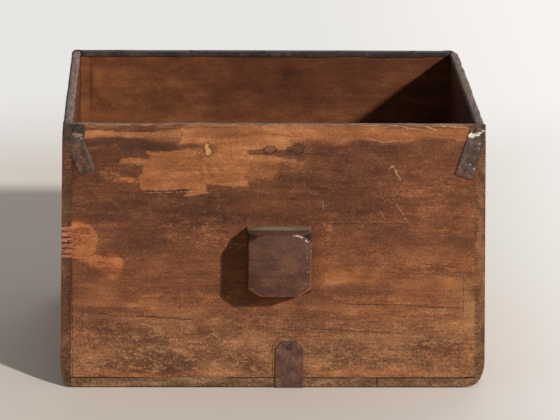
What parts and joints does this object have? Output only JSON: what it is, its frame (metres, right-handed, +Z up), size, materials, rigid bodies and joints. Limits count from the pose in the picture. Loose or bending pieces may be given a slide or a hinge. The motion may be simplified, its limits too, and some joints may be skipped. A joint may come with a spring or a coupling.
{
  "type": "wooden grain measure",
  "caption": "Open-topped square wooden grain measure with comb-jointed boards, block handles on two sides, iron corner straps and an iron strap round the bottom.",
  "frame": {"origin": "on the floor, at the middle of the box's foot, which is the bottom centre of the bounding box", "axes": "+Z up towards the open mouth, -Y towards the front with the shorter left corner strap, +Y from the front handle to the rear handle, +X to the right as seen from the front"},
  "size_m": [0.3214, 0.3824, 0.2031],
  "materials": {
    "board_wood": "worn, dark oiled",
    "bottom_wood": "bare, worn grey-brown",
    "handle_wood": "smooth from handling",
    "peg_wood": "bare",
    "strap_iron": "forged, brown rust",
    "nail_iron": "forged, rusty"
  },
  "bodies": {
    "root": {"front_board": "board_wood", "rear_board": "board_wood", "left_side_board": "board_wood", "right_side_board": "board_wood", "wide_bottom_plank": "bottom_wood", "narrow_bottom_plank": "bottom_wood", "front_handle_block": "handle_wood", "rear_handle_block": "handle_wood", "front_handle_peg_1": "peg_wood", "front_handle_peg_2": "peg_wood", "rear_handle_peg_1": "peg_wood", "rear_handle_peg_2": "peg_wood", "front_base_peg_1": "peg_wood", "front_base_peg_2": "peg_wood", "front_base_peg_3": "peg_wood", "front_base_peg_4": "peg_wood", "rear_base_peg_1": "peg_wood", "rear_base_peg_2": "peg_wood", "rear_base_peg_3": "peg_wood", "rear_base_peg_4": "peg_wood", "left_base_peg_1": "peg_wood", "left_base_peg_2": "peg_wood", "left_base_peg_3": "peg_wood", "left_base_peg_4": "peg_wood", "right_base_peg_1": "peg_wood", "right_base_peg_2": "peg_wood", "right_base_peg_3": "peg_wood", "right_base_peg_4": "peg_wood", "plank_joint_dowel_1": "peg_wood", "plank_joint_dowel_2": "peg_wood", "plank_joint_dowel_3": "peg_wood", "front_left_corner_strap": "strap_iron", "front_right_corner_strap": "strap_iron", "rear_left_corner_strap": "strap_iron", "rear_right_corner_strap": "strap_iron", "base_strap": "strap_iron", "rear_rim_strip": "strap_iron", "front_left_strap_nail_1": "nail_iron", "front_left_strap_nail_2": "nail_iron", "front_right_strap_nail_1": "nail_iron", "front_right_strap_nail_2": "nail_iron", "rear_left_strap_nail_1": "nail_iron", "rear_left_strap_nail_2": "nail_iron", "rear_right_strap_nail_1": "nail_iron", "rear_right_strap_nail_2": "nail_iron", "front_base_strap_nail": "nail_iron", "rear_base_strap_nail": "nail_iron", "rim_strip_nail_1": "nail_iron", "rim_strip_nail_2": "nail_iron", "rim_strip_nail_3": "nail_iron", "rim_strip_nail_4": "nail_iron", "rim_strip_nail_5": "nail_iron"}
  },
  "joints": []
}
